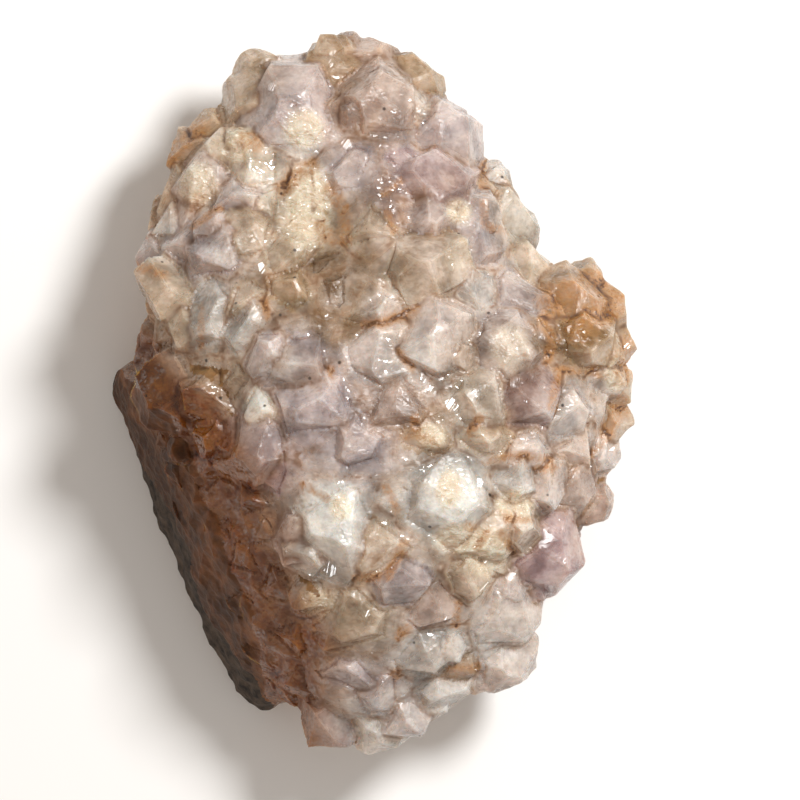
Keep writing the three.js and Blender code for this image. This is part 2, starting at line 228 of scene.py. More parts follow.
def crystalPlanes(x, y, across, middle, tip, axis, root):
    # Outward normal, offset and kind of each face: 0 at the tip, 1 on the prism, 2 at the root
    turn = math.radians(60) * draw(x, y, 3)
    first, second = sideways(axis)
    slope = math.radians(habit["pyramidSlope"])
    planes = []
    for side in range(6):
        outward = turnedTo(turn + side * math.radians(60), first, second)
        least, spread = habit["halfWidth"]
        planes.append((outward, outward @ middle + across * (least + spread * draw(x, y, 10 + side)), 1))
        small = side % 2 == 1
        if small and across < habit["plainTip"]:
            continue
        least, spread = habit["smallTipFace"]
        gap = least + spread * draw(x, y, 20 + side) if small else habit["largeTipFace"]
        face = turnedTo(slope, axis, outward)
        planes.append((face, face @ tip + gap * across, 0))
    for side in range(3):
        around = 90 + 120 * side + 50 * draw(x, y, 40 + side)
        outward = turnedTo(turn + math.radians(around), first, second)
        slope = math.radians(mix(*habit["bluntSlope"], draw(x, y, 50 + side)))
        face = turnedTo(slope, axis, outward)
        planes.append((face, face @ tip - across * mix(*habit["bluntDepth"], draw(x, y, 60 + side)), 0))
    planes.append((-axis, -axis @ tip + root, 2))
    return planes


def bodyInside(planes):
    # The body inside all the planes, which keeps them: a point of the finished mesh
    # can be asked which crystal it is on
    normals, offsets, kinds = (np.array(part) for part in zip(*planes))
    triples = np.array(list(itertools.combinations(range(len(planes)), 3)))
    first, second, third = normals[triples.T]
    volume = np.einsum("ij,ij->i", first, np.cross(second, third))
    meeting = np.abs(volume) > 1e-5
    triples, volume = triples[meeting], volume[meeting]
    first, second, third = normals[triples.T]
    points = (offsets[triples[:, 0], None] * np.cross(second, third)
              + offsets[triples[:, 1], None] * np.cross(third, first)
              + offsets[triples[:, 2], None] * np.cross(first, second)) / volume[:, None]
    inside = np.all(points @ normals.T < offsets + 1e-5, axis=1)
    corners = np.unique(np.round(points[inside], 4), axis=0)
    faces = []
    for normal, offset in zip(normals, offsets):
        on = np.flatnonzero(np.abs(corners @ normal - offset) < 1e-3)
        if len(on) < 3:
            continue
        across, along = sideways(normal, (1.0, 0, 0) if abs(normal[0]) < 0.9 else (0, 1.0, 0))
        spokes = corners[on] - corners[on].mean(axis=0)
        order = np.argsort(np.arctan2(spokes @ along, spokes @ across))
        faces.append(on[order].tolist())
    return {"corners": corners, "faces": faces, "normals": normals, "offsets": offsets, "faceKinds": kinds}


bodies = []


def addCrystal(x, y, across, middle, axis, root, tone, family=None, onFlank=False, inCad=False):
    # On the bare flank all faces are broken ones, kind 3
    tip = middle + habit["middleToTip"] * across * axis
    planes = crystalPlanes(x, y, across, middle, tip, axis, root)
    body = bodyInside([(normal, offset, 3 if onFlank else kind) for normal, offset, kind in planes])
    family = len(crystals) + len(bodies) if family is None else family
    if len(body["corners"]) > 3:
        bodies.append({**body, "axis": axis, "tip": tip, "tone": tone, "family": family, "inCad": inCad})


def middleOn(x, y, rise, across):    # the middle of a crystal whose tip stands out of the crust
    return np.array([x, y, crustHeight(x, y) + rise - habit["middleToTip"] * across])


# Smaller crystals that stand in step with a large one, with the same faces
companions = {"perWidth": 0.055, "width": (0.35, 0.55), "out": (0.35, 0.6), "drop": (0.5, 0.9), "tilt": 0.04}


def growCrystal(family, tone, x, y, across, rise, lean=None, toward=None):
    axis = outwardAxis(x, y, habit["stray"]) if lean is None else leanAxis(lean, toward)
    middle = middleOn(x, y, rise, across)
    angle = math.atan2(y, x)
    onFlank = flankShare(angle) > 0.5 and math.hypot(x, y) > crust["flankRimShare"] * outlineReach(angle)
    root = habit["root"] * across + rise
    addCrystal(x, y, across, middle, axis, root, tone, family, onFlank, across >= leastInCad)
    if onFlank:
        return
    first, second = sideways(axis)
    for number in range(round(companions["perWidth"] * across)):
        turn, out, width, drop, tilt = (draw(x, y, use + number) for use in (40, 60, 80, 100, 120))
        out = across * mix(*companions["out"], out)
        width = across * mix(*companions["width"], width)
        drop = out * mix(*companions["drop"], drop)
        own = axis + companions["tilt"] * (2 * tilt - 1) * first
        own /= np.linalg.norm(own)
        start = middle + out * turnedTo(2 * math.pi * turn, first, second)
        start = start + (habit["middleToTip"] * (across - width) - drop) * axis
        addCrystal(x, y, width, start, own, habit["root"] * width + rise, tone, family)


def nearestTone(x, y):
    distances = [math.hypot(row[1] - x, row[2] - y) - 0.4 * row[3] for row in crystals]
    return crystals[int(np.argmin(distances))][0]


# Small crystals that fill the gaps between the large ones
gapCrystals = {
    "spacing": 6.4, "cells": (13, 18), "jitter": 0.9, "clear": 0.75, "reach": 0.97,
    "width": (6, 10), "rise": (2.5, 4.5), "stray": 0.5, "root": 1.6,
}


def growGapCrystals():
    step, jitter, (columns, lines) = gapCrystals["spacing"], gapCrystals["jitter"], gapCrystals["cells"]
    for column, line in itertools.product(range(-columns, columns + 1), range(-lines, lines + 1)):
        x = (column + jitter * draw(column, line, 7)) * step
        y = (line + jitter * draw(column, line, 8)) * step
        angle = math.atan2(y, x)
        share = math.hypot(x, y) / outlineReach(angle)
        taken = any(math.hypot(row[1] - x, row[2] - y) < gapCrystals["clear"] * row[3] for row in crystals)
        if taken or share > mix(gapCrystals["reach"], crust["flankRimShare"], flankShare(angle)):
            continue
        width = mix(*gapCrystals["width"], draw(x, y, 9))
        rise = mix(*gapCrystals["rise"], draw(x, y, 10))
        axis = outwardAxis(x, y, gapCrystals["stray"])
        root = gapCrystals["root"] * width + rise
        addCrystal(x, y, width, middleOn(x, y, rise, width), axis, root, nearestTone(x, y))


# Crystals on the sides, under the rim that the camera sees
sideCrystals = {
    "count": 120, "height": (9, 30), "width": (4, 9), "lean": (108, 62), "turn": 40,
    "out": 0.15, "root": 1.8, "flank": 0.3,
}


def growSideCrystals():
    for number in range(sideCrystals["count"]):
        angle = 2 * math.pi * (number + draw(number, 1, 11)) / sideCrystals["count"]
        angle = (angle + math.pi) % (2 * math.pi) - math.pi
        flank = flankShare(angle)
        if flank > sideCrystals["flank"]:
            continue
        height = mix(*sideCrystals["height"], draw(number, 2, 12) ** 0.6)
        width = mix(*sideCrystals["width"], draw(number, 3, 13))
        shares = [np.interp(height, *reversed(list(zip(*side)))) for side in (plainSide, flankSide)]
        reach = mix(*shares, flank) * outlineReach(angle) + sideCrystals["out"] * width
        x, y = reach * math.cos(angle), reach * math.sin(angle)
        lean = mix(*sideCrystals["lean"], height / sideCrystals["height"][1])
        toward = math.degrees(angle) + sideCrystals["turn"] * (draw(number, 4, 14) - 0.5)
        root = sideCrystals["root"] * width
        addCrystal(x, y, width, np.array([x, y, height]), leanAxis(lean, toward), root, nearestTone(x, y))


def crustMesh():
    # The base under the crystals: rings from the cut face up over the crown
    steps = 72
    angles = [2 * math.pi * step / steps - math.pi for step in range(steps)]
    flanks = [flankShare(angle) for angle in angles]
    rings = [[(0, 0, 0)]]
    for (plain, low), (bare, high) in zip(plainSide, flankSide):
        rings.append([(*placeAt(angle, mix(plain, bare, flank)), mix(low, high, flank))
                      for angle, flank in zip(angles, flanks)])
    for share in crownRings:
        places = [placeAt(angle, share * mix(crust["rimShare"], crust["flankRimShare"], flank))
                  for angle, flank in zip(angles, flanks)]
        fill = crust["fill"] * (1 - share ** 4)
        rings.append([(x, y, crustHeight(x, y) + fill) for x, y in places])
    rings.append([(0, 0, crustHeight(0.001, 0) + crust["fill"])])
    starts = np.cumsum([0] + [len(ring) for ring in rings]).tolist()
    faces = []
    for step in range(steps):
        after = (step + 1) % steps
        faces.append((0, starts[1] + after, starts[1] + step))
        for low, high in zip(starts[1:-3], starts[2:-2]):
            faces.append((low + step, low + after, high + after, high + step))
        faces.append((starts[-3] + step, starts[-3] + after, starts[-2]))
    return np.array([point for ring in rings for point in ring]), faces


def joinMeshes(parts):
    points, faces, start = [], [], 0
    for corners, sides in parts:
        points.append(corners)
        faces.extend([[corner + start for corner in side] for side in sides])
        start += len(corners)
    return np.vstack(points), faces


def newObject(name, points, faces):
    mesh = bpy.data.meshes.new(name)
    mesh.from_pydata([tuple(point) for point in points], [], faces)
    mesh.update()
    made = bpy.data.objects.new(name, mesh)
    bpy.context.scene.collection.objects.link(made)
    return made


def applied(piece):
    # The piece's mesh with its modifiers worked in
    view = bpy.context.evaluated_depsgraph_get()
    mesh = bpy.data.meshes.new_from_object(piece.evaluated_get(view))
    piece.modifiers.clear()
    old = piece.data
    piece.data = mesh
    bpy.data.meshes.remove(old)


def read(items, name, across=3, kind=float):
    flat = np.empty(len(items) * across, dtype=kind)
    items.foreach_get(name, flat)
    return flat.reshape(-1, across) if across > 1 else flat


def setPlaces(mesh, points):
    mesh.vertices.foreach_set("co", points.ravel())
    mesh.update()


def storeValues(mesh, name, kind, domain, values):
    layer = mesh.attributes.new(name, kind, domain)
    field = {"FLOAT": "value", "FLOAT_COLOR": "color", "FLOAT_VECTOR": "vector"}[kind]
    layer.data.foreach_set(field, np.ascontiguousarray(values, dtype=np.float32).ravel())


def latticeNoise(points, size, seed):
    # Smooth noise from -1 to 1 with bumps about size across
    place = points / size + seed * 17.31
    cell = np.floor(place).astype(np.int64)
    part = place - cell
    part = part * part * part * (part * (part * 6 - 15) + 10)
    total = np.zeros(len(points))
    for corner in itertools.product((0, 1), repeat=3):
        at = cell + np.array(corner)
        mixed = (at[:, 0] * 73856093) ^ (at[:, 1] * 19349663) ^ (at[:, 2] * 83492791) ^ (seed * 2654435761)
        mixed = (mixed ^ (mixed >> 13)) * 1274126177
        value = ((mixed ^ (mixed >> 16)) & 0xFFFF) / 32767.5 - 1
        weight = np.prod(np.where(np.array(corner) == 1, part, 1 - part), axis=1)
        total += value * weight
    return total


def shellFractures(points, size, seed):
    # Shell-shaped fracture: shallow tilted bowls about size across, with sharp ridges between them
    cell = np.floor(points / size).astype(np.int64)
    lowest = np.full(len(points), np.inf)
    for step in itertools.product((-1, 0, 1), repeat=3):
        at = cell + np.array(step)
        mixed = (at[:, 0] * 92837111) ^ (at[:, 1] * 689287499) ^ (at[:, 2] * 283923481) ^ (seed * 97531)
        parts = []
        for number in range(6):
            mixed = (mixed ^ (mixed >> 15)) * 1274126177 + number
            parts.append(((mixed ^ (mixed >> 16)) & 0xFFFF) / 65535)
        away = points / size - at - np.stack(parts[:3], axis=1)
        tilt = np.stack(parts[3:], axis=1) - 0.5
        bowl = np.einsum("ij,ij->i", away, tilt) + 0.9 * np.einsum("ij,ij->i", away, away)
        lowest = np.minimum(lowest, bowl)
    return lowest


def whichBody(points):
    # For each point: the body whose face it is on, that face, how far off it is,
    # how near the next face of the same body is, and how near another crystal is
    reach = relief["reach"]
    order = np.argsort(points[:, 0])
    ordered = points[order, 0]
    found = {
        "body": np.full(len(points), -1),
        **{name: np.zeros(len(points), int) for name in ("face", "next")},
        **{name: np.full(len(points), np.inf) for name in ("off", "ridge", "seam")},
    }
    families = np.array([body["family"] for body in bodies])
    for step in ("own", "other"):
        for number, body in enumerate(bodies):
            low, high = body["corners"].min(axis=0) - reach, body["corners"].max(axis=0) + reach
            some = order[np.searchsorted(ordered, low[0]):np.searchsorted(ordered, high[0])]
            near = points[some]
            inside = np.all((near[:, 1:] > low[1:]) & (near[:, 1:] < high[1:]), axis=1)
            some, near = some[inside], near[inside]
            if len(some) == 0:
                continue
            values = near @ body["normals"].T - body["offsets"]
            if step == "own":
                ranked = np.argsort(values, axis=1)
                rows = np.arange(len(some))
                top = values[rows, ranked[:, -1]]
                closer = top < found["off"][some]
                mine = some[closer]
                found["body"][mine] = number
                found["off"][mine] = top[closer]
                found["face"][mine] = ranked[closer, -1]
                found["next"][mine] = ranked[closer, -2]
                found["ridge"][mine] = (top - values[rows, ranked[:, -2]])[closer]
            else:
                owners = found["body"][some]
                foreign = (owners >= 0) & (families[owners] != body["family"])
                mine = some[foreign]
                found["seam"][mine] = np.minimum(found["seam"][mine], values.max(axis=1)[foreign])
    owned = found["body"] >= 0
    found["seam"][owned] -= found["off"][owned]
    return found


def settleOnFaces(points, found, reach):
    # Draws each point onto the exact face, or onto the exact edge where two faces meet
    held = (found["body"] >= 0) & (np.abs(found["off"]) < reach)
    for number, body in enumerate(bodies):
        mine = np.flatnonzero(held & (found["body"] == number))
        if len(mine) == 0:
            continue
        normal, offset = body["normals"][found["face"][mine]], body["offsets"][found["face"][mine]]
        other, otherOffset = body["normals"][found["next"][mine]], body["offsets"][found["next"][mine]]
        edge = found["ridge"][mine] < 0.45 * reach
        place = points[mine]
        for repeat in range(3):
            place = place - (np.einsum("ij,ij->i", place, normal) - offset)[:, None] * normal
            off = np.einsum("ij,ij->i", place, other) - otherOffset
            place = place - np.where(edge, off, 0)[:, None] * other
        moved = place - points[mine]
        far = np.linalg.norm(moved, axis=1)
        points[mine] += moved * np.minimum(1, 1.2 * reach / np.maximum(far, 1e-9))[:, None]
    return held


# How the skin is fused and how it departs from flat faces, in millimetres
relief = {
    "coarse": 0.6, "closing": 1.1, "voxel": 0.45, "triangles": 190000,
    "growthStep": 0.09, "stepLength": 1.1, "tipWave": 0.05, "wear": 0.1, "wearWidth": 0.5,
    "fractures": [(14, 1.8), (6, 1.1), (2.6, 0.4)], "filling": 0.2, "warp": 0.3, "warpSize": 9,
    "sugar": (2.2, 0.7), "reach": 1.2, "onFace": 0.8,
}


def wallShare(points):
    # 1 on the broken flank and on the sides under the rim, 0 on the crystal crown
    angles = np.arctan2(points[:, 1], points[:, 0])
    out = np.hypot(points[:, 0], points[:, 1]) / outlineReach(angles)
    wander = 0.06 * latticeNoise(points, 7, 14)
    rim = crust["flankRimShare"]
    bare = flankShare(angles) * smoothStep(out + wander, rim - 0.1, rim + 0.04)
    return np.maximum(bare, smoothStep(crust["rim"] - points[:, 2], 1, 8))


# Sugary patches of very small crystals: middle, the two half widths and how strong
frostMarks = [
    (-14.5, 40, 6, 11), (-30, 54, 4, 5), (-15, 57, 5, 5), (18, 30, 4, 5, 0.4), (18, -31, 6, 4),
    (16, -20, 3, 5), (29, 10, 5, 6, 0.5), (52, 4, 3, 4), (-7, -24, 3, 3), (18, 39, 3, 3), (12, -9, 4, 3),
    (30, -24, 5, 4), (-38, 45, 5, 6), (24, -34, 5, 6), (-12, -45, 4, 4),
]


def patchShare(points, marks):
    share = np.zeros(len(points))
    for x, y, across, along, *strength in marks:
        away = np.hypot((points[:, 0] - x) / across, (points[:, 1] - y) / along)
        share = np.maximum(share, (strength or [1])[0] * (1 - smoothStep(away, 0.55, 1.15)))
    return share


def shapeSurface(mesh):
    points = read(mesh.vertices, "co")
    normals = read(mesh.vertex_normals, "vector")
    found = whichBody(points)
    settled = settleOnFaces(points, found, relief["voxel"])
    storeValues(mesh, "rest", "FLOAT_VECTOR", "POINT", points)    # where each point was before the relief
    kinds = np.full(len(points), 3)
    heights = np.zeros(len(points))
    for number, body in enumerate(bodies):
        mine = np.flatnonzero(settled & (found["body"] == number))
        kinds[mine] = body["faceKinds"][found["face"][mine]]
        heights[mine] = (points[mine] - body["tip"]) @ body["axis"] + 3.7 * number
    lines = np.stack([heights, np.zeros_like(heights), np.zeros_like(heights)], axis=1)
    steps = relief["growthStep"] * latticeNoise(lines, relief["stepLength"], 1)
    waves = relief["tipWave"] * latticeNoise(points, 1.6, 2)
    rough = relief["filling"] * latticeNoise(points, 1.9, 9)
    push = np.select([kinds == 1, kinds == 0, kinds == 3], [steps, waves, rough], 0)
    wear = smoothStep(relief["wearWidth"] - found["ridge"], 0, relief["wearWidth"])
    push -= np.where(kinds < 2, relief["wear"] * wear * (0.5 + 0.5 * latticeNoise(points, 1.3, 5)), 0)
    wall = wallShare(points)
    broken = np.flatnonzero(wall > 0.01)
    for size, depth in relief["fractures"]:
        push[broken] += wall[broken] * depth * (shellFractures(points[broken], size, 3) - 0.2)
    sugary = patchShare(points, frostMarks)
    size, depth = relief["sugar"]
    push += sugary * depth * (shellFractures(points, size, 4) - 0.2)
    points += push[:, None] * normals
    for side in range(3):
        points[:, side] += relief["warp"] * latticeNoise(points, relief["warpSize"], 6 + side)
    points[:, 2] = np.maximum(points[:, 2], 0)
    setPlaces(mesh, points)


# Small bright faces: x, y, width, length, its direction and how far it narrows along it
glints = [
    (-22, 66.5, 2, 3, 60), (-21.5, 73, 1.6, 2.2, 20), (-9.5, 71.5, 1.4, 2.2, 100), (-4.5, 77, 1.2, 1.8, 0),
    (-6, 54, 2.6, 2.2, 30), (1.5, 53.5, 1.4, 2, 80), (13.5, 54, 1.2, 2, 140), (-15.7, 23.7, 1.2, 2, 40),
    (-25, 17, 2.2, 2.6, 70), (-24, 27, 2, 2.6, 110), (-46.5, 34.5, 1.2, 2, 0), (-30, 32, 0.8, 3.4, 60),
    (-2.5, 17.5, 0.7, 2.8, 25), (1, 20, 0.7, 2.4, 20), (12, 1, 1.6, 2.6, 75), (16.5, -2.5, 3.2, 2.6, 35),
    (21.5, 0, 1.2, 1.8, 120), (32.5, -1.5, 0.9, 3, 150), (48, 25, 0.8, 2.4, 60), (47, 21, 0.8, 2.2, 60),
    (55, 10.5, 2, 1.6, 90, 0.3), (51.5, -12, 1.4, 1.6, 50), (45, -7.5, 1.2, 1.8, 0), (42.5, -23, 1, 2, 70),
    (41.9, -36.6, 3, 4.6, 85, 0), (41.3, -43, 1.1, 3, 10), (23.5, -36.5, 1.1, 2.8, 55, 0),
    (23.5, -41.5, 0.9, 3, 50, 0), (30, -39.5, 1.4, 2.6, 50), (22.5, -19, 2, 2.2, 80, -0.6),
    (6, -23.5, 1.1, 3, 78, 0), (3.8, -25, 0.8, 1.8, 120), (-9.5, -37, 3, 3.4, 130),
    (-13.7, -38, 1, 1.5, 60), (-7, -19, 1, 3, 10), (-10.2, -16, 1.2, 1.4, 30), (-18.7, -33, 0.7, 3, 80),
    (-0.5, -56, 3, 2.2, 90, 1), (-1.2, -46.5, 1.8, 2.6, 60), (15.3, -48.3, 1, 1.6, 60),
    (25.3, -54.6, 1, 2.4, 60), (6, -66, 1.6, 2.2, 60),
]
sparkle = {"share": 0.4, "area": (0.5, 2.4), "deepest": 2.5, "step": 0.1}


def faceArea(corners, face):
    spokes = corners[face] - corners[face[0]]
    return 0.5 * np.linalg.norm(np.cross(spokes[1:-1], spokes[2:]).sum(axis=0))


def cutGlint(body, area):
    toKey = np.array(studio["keyPlace"]) - body["tip"]
    bright = toKey / np.linalg.norm(toKey) + np.array([0, 0, 1])
    bright /= np.linalg.norm(bright)
    nearest = (body["corners"] @ bright).max()
    planes = list(zip(body["normals"], body["offsets"], body["faceKinds"]))
    for depth in np.arange(sparkle["step"], sparkle["deepest"], sparkle["step"]):
        cut = bodyInside([*planes, (bright, nearest - depth, 4)])
        if faceArea(cut["corners"], cut["faces"][-1]) >= area:
            break
    body.update(cut)


def cutGlints():
    points, faces = joinMeshes([(body["corners"], body["faces"]) for body in bodies])
    surface = BVHTree.FromPolygons([tuple(point) for point in points], faces)
    owners = np.repeat(np.arange(len(bodies)), [len(body["faces"]) for body in bodies])
    cut = set()
    for x, y, width, length, *turning in glints:
        hit, normal, struck, distance = surface.ray_cast(Vector((x, y, 100)), Vector((0, 0, -1)))
        if hit is not None and owners[struck] not in cut:
            cut.add(owners[struck])
            cutGlint(bodies[owners[struck]], width * length)
    for number, body in enumerate(bodies):
        chance = draw(*body["tip"][:2], 35)
        if number not in cut and chance < sparkle["share"] and 3 not in body["faceKinds"]:
            cutGlint(body, mix(*sparkle["area"], chance / sparkle["share"]))


# The camera looks straight down on the crystals, as in the photograph
view = {"middle": (5.5, -1.32), "span": 173, "level": 36, "distance": 1500, "sensor": 36}
studio = {
    "world": "#f4f3f0", "worldStrength": 0.46, "floor": "#f4f3f1",
    "keyPower": 5.9, "keySize": 200, "keyPlace": (330, 300, 620), "keyTone": "#ffffff",
    "fillPower": 0.6, "fillSize": 500, "fillPlace": (-420, -300, 260), "fillTone": "#ffd2ac",
}


def keepOuterSkin(piece):
    # Sealed gaps between crystals leave loose inner skins: only the largest skin stays
    mesh = piece.data
    first, second = read(mesh.edges, "vertices", 2, np.int64).T
    label = np.arange(len(mesh.vertices))
    while True:
        lowest = np.minimum(label[first], label[second])
        np.minimum.at(label, first, lowest)
        np.minimum.at(label, second, lowest)
        label = label[label]
        if np.array_equal(label[first], label[second]):
            break
    kept = np.bincount(label).argmax()
    loose = label != kept
    print("loose inner points dropped:", int(loose.sum()))
    work = bmesh.new()
    work.from_mesh(mesh)
    bmesh.ops.delete(work, geom=[point for point, drop in zip(work.verts, loose) if drop], context="VERTS")
    work.to_mesh(mesh)
    work.free()


def reskin(piece, size):
    remesh = piece.modifiers.new("fuse", "REMESH")
    remesh.mode = "VOXEL"
    remesh.voxel_size = size
    applied(piece)


def pushOut(piece, distance):
    mesh = piece.data
    setPlaces(mesh, read(mesh.vertices, "co") + distance * read(mesh.vertex_normals, "vector"))


def fuse(piece):
    # One skin round all the crystals, with quartz in the narrowest crevices
    reskin(piece, relief["coarse"])
    pushOut(piece, relief["closing"])
    reskin(piece, relief["coarse"])
    pushOut(piece, -relief["closing"])
    reskin(piece, relief["voxel"])


for family, row in enumerate(crystals):
    growCrystal(family, *row)
growGapCrystals()
growSideCrystals()
print("grown bodies:", len(bodies))
cutGlints()
parts = [(body["corners"], body["faces"]) for body in bodies]
quartz = newObject("quartzCluster", *joinMeshes(parts + [crustMesh()]))
fuse(quartz)
keepOuterSkin(quartz)
print("fused into one skin:", len(quartz.data.polygons), "faces")
shapeSurface(quartz.data)
decimate = quartz.modifiers.new("thin", "DECIMATE")
decimate.ratio = relief["triangles"] / (2 * len(quartz.data.polygons))
applied(quartz)
thinned = read(quartz.data.vertices, "co")
thinned[:, 2] = np.maximum(thinned[:, 2], 0)
setPlaces(quartz.data, thinned)
print("surface shaped:", len(quartz.data.polygons), "faces")


def hexColour(text):
    shares = [int(text[start:start + 2], 16) / 255 for start in (1, 3, 5)]
    return tuple(s / 12.92 if s <= 0.04045 else ((s + 0.055) / 1.055) ** 2.4 for s in shares) + (1,)


def addNode(tree, kind, inputs=(), **settings):
    # Inputs are told by name or in the order of the sockets in use; a node stands for its first output
    node = tree.nodes.new("ShaderNode" + kind)
    for name, value in settings.items():
        setattr(node, name, value)
    if isinstance(inputs, tuple):
        inputs = dict(zip([number for number, socket in enumerate(node.inputs) if socket.enabled], inputs))
    for name, value in inputs.items():
        if isinstance(value, bpy.types.Node):
            value = next(output for output in value.outputs if output.enabled)
        if isinstance(value, bpy.types.NodeSocket):
            tree.links.new(value, node.inputs[name])
        else:
            node.inputs[name].default_value = value
    return node


def newMaterial(name):
    # A material, what adds a node to it, and the place on the stone
    material = bpy.data.materials.new(name)
    material.use_nodes = True
    material.node_tree.nodes.clear()
    add = partial(addNode, material.node_tree)
    return material, add, add("TexCoord").outputs["Object"]


# How far a crystal keeps its own tone: the rest is its neighbours' and the cluster's common tone
colouring = {
    "own": 0.65, "blend": 6, "common": "#cbbdb3", "toCommon": 0.1, "lightness": 0.06,
    "warmth": (1.17, 1.19, 1.11), "smoky": (0.58, 0.45, 0.27), "lightest": 0.88,
}

# Smoky and iron-stained zones: middle, the two half widths and how strong
smokeMarks = [
    (-8, 16, 7, 7, 0.9), (-9, 26, 8, 5, 0.6), (36.5, 11, 4, 4, 1), (11.5, -6.5, 4.5, 4, 0.7),
    (34, 16, 18, 16, 0.25), (44, 17, 11, 9, 0.6), (41, 9, 5, 4, 0.5), (-13, -15, 4, 4, 0.3),
    (4, -19, 4, 3, 0.4), (30, 39, 7, 10, 0.6), (18, 39, 4, 4, 0.4), (11.5, 27.5, 9, 7, 0.4),
    (19, 30, 6, 5, 0.2), (19.5, 18.5, 5, 5, 0.2), (-48, 24, 5, 5, 0.45), (-42, 54.5, 6, 5, 0.4),
    (-12, -44, 5, 4, 0.35), (27, -23.5, 4, 4, 0.2), (-27.5, 5.5, 4, 4, 0.3), (27, 4, 15, 17, 0.6),
    (9, 41, 14, 12, 0.33), (-24, 68, 7, 6, 0.3), (-17, 6, 7, 5, 0.3),
]

# Rust in cracks and seams: start, end and width of each stroke
ironMarks = [
    (-20, 44, -13.5, 49.5, 2.5), (-28, 55, -26, 54, 3), (-9.5, 44, -6.5, 39, 2.4), (-6.5, 39, -6, 33, 2.2),
    (-11.5, 35.5, -8.5, 33, 2.2), (-2, 15, 2, 15, 1.4), (2, 15, 9, 18, 1.6), (5.5, 9, 8.5, 4.5, 1.2),
    (-9, 5, -9, 4, 1.4), (8.5, -5, 9, -9, 1.4), (9, -9, 12.5, -10, 1.4), (7, -9.5, 9, -9, 1.2),
    (2, 43, 6, 46, 1.2), (3, 39, 4, 35, 1.4), (-39, 36, -33, 40.5, 1.2), (-52, 28, -45, 25.5, 1.6),
    (-37, 19, -37, 10, 1.2), (-23.5, 20, -23, 16, 1.2), (-40, 0, -36, -3, 1.6), (23.5, 37, 23.5, 50, 1.4),
    (24, 36, 27.5, 35, 1.4), (37, 20, 36, 15, 1.6), (36, 15, 38.5, 11, 1.6), (38.5, 11, 37, 7, 1.6),
    (38, 20, 48, 24, 5), (44, 14, 52, 20, 5), (39, 5, 47, 5, 1.4), (47, 5, 48, 4, 1.4),
    (39.5, 4, 38, -3, 1.4), (25, -14, 30, -13, 1.2), (30, -13, 38, -14, 1.2), (22.5, -5, 20.5, -8.5, 1.4),
    (47, -13, 49.5, -10.5, 1.2), (35, -16, 39, -16, 1.2), (-15, -19.5, -10, -22.5, 1.2),
    (2.5, -20, 5, -25, 1.4), (-4, -39, 3, -39, 1.4), (3, -39, 6.5, -32, 1.6), (20, -28, 20.5, -28.5, 1.6),
    (28, -27, 34, -27, 1.2), (27, -30, 30, -34, 1.4), (22, -33, 24, -30, 1.4), (18, -45, 17.5, -50, 1.4),
    (17, -60, 22, -59.5, 2), (5, -52, 7, -50.5, 1.6), (4, -61, 5, -60, 1.6), (-38, 58, -46, 50, 3),
    (-35.5, -1, -33, -6, 1.4), (-41, -13, -35, -13.5, 1.4), (-27, -19, -24.5, -24, 1.4),
    (-33, -35, -29, -39, 1.4), (-17, -47, -12, -50, 1.2), (-16, -51, -11, -54, 1.2),
    (-23, -59, -19, -63, 1.2), (50, -8, 54, -2, 3), (54, 4, 56, 12, 3),
]

# Milky hearts, told as the smoky zones are
milkMarks = [
    (-10, -26.5, 8, 9), (16.5, -21.5, 7, 8), (-24.7, -2.7, 3, 4), (-17, 54, 6, 4, 0.5),
    (-32, 31, 5, 4, 0.5), (7, 9, 8, 6, 0.5), (0, 20, 9, 4, 0.3), (31, 37, 6, 8, 0.25), (-20, 6, 5, 4, 0.4),
    (42, -5, 6, 6, 0.3), (-26, 45, 6, 5, 0.4), (28, -52, 11, 9, 0.5), (-48, 33, 5, 5, 0.3),
    (1, -70, 13, 8, 0.55),
]

# Where the quartz turns browner and darker towards the left flank, partly iron and partly painted shade: y
# and x of the middle of the change, and its width
brownAndShadeEdge = {
    "middle": [
        (-80, -11), (-67, -9), (-54, -8), (-39, -17.5), (-23, -21.5), (-12, -24), (6, -41), (14, -47),
        (30, -60)],
    "crystals": (-7, 7), "massive": (-4, 26), "tint": (0.38, 0.175, 0.035),
    "blend": (0.01, 0.7),    # where the broken quartz keeps the lighter quartz's material
}


# The share of browner quartz and of painted shade, growing towards the left flank
def brownAndShadeShare(points, ends):    # 1 towards the left flank
    heights, middles = zip(*brownAndShadeEdge["middle"])
    off = np.interp(points[:, 1], heights, middles) - points[:, 0] + 3 * latticeNoise(points, 8, 15)
    return smoothStep(off, *ends)


def strokeShare(points, marks):
    # 1 on a stroke, fading to 0 a width away
    share = np.zeros(len(points))
    for x1, y1, x2, y2, width in marks:
        start, run = np.array([x1, y1]), np.array([x2 - x1, y2 - y1])
        along = np.clip((points[:, :2] - start) @ run / (run @ run), 0, 1)
        away = np.linalg.norm(points[:, :2] - start - along[:, None] * run, axis=1)
        share = np.maximum(share, 1 - smoothStep(away, 0.3 * width, 1.3 * width))
    return share


def flashDepth(points, found):
    # How far inside a bright face each point is, in mm, on the crystal face that holds its middle
    depth = np.full(len(points), -1.0)
    for x, y, width, length, turn, *narrows in glints:
        away = np.hypot(points[:, 0] - x, points[:, 1] - y)
        near = np.flatnonzero(away < width + length)
        top = near[np.argmax(np.where(away[near] < 0.7, points[near, 2], -1))]
        onBody, onFace = (found[name][near] == found[name][top] for name in ("body", "face"))
        mine = near[onBody & onFace]
        angle = math.radians(turn)
        along = (points[mine, 0] - x) * math.cos(angle) + (points[mine, 1] - y) * math.sin(angle)
        across = (points[mine, 1] - y) * math.cos(angle) - (points[mine, 0] - x) * math.sin(angle)
        narrow = narrows[0] if narrows else 1.2 * draw(x, y, 36) - 0.6
        half = 0.5 * width * (1 - 0.5 * abs(narrow) - narrow * along / length)
        inward = np.minimum(half - np.abs(across), 0.5 * length - np.abs(along))
        depth[mine] = np.maximum(depth[mine], inward)
    return depth


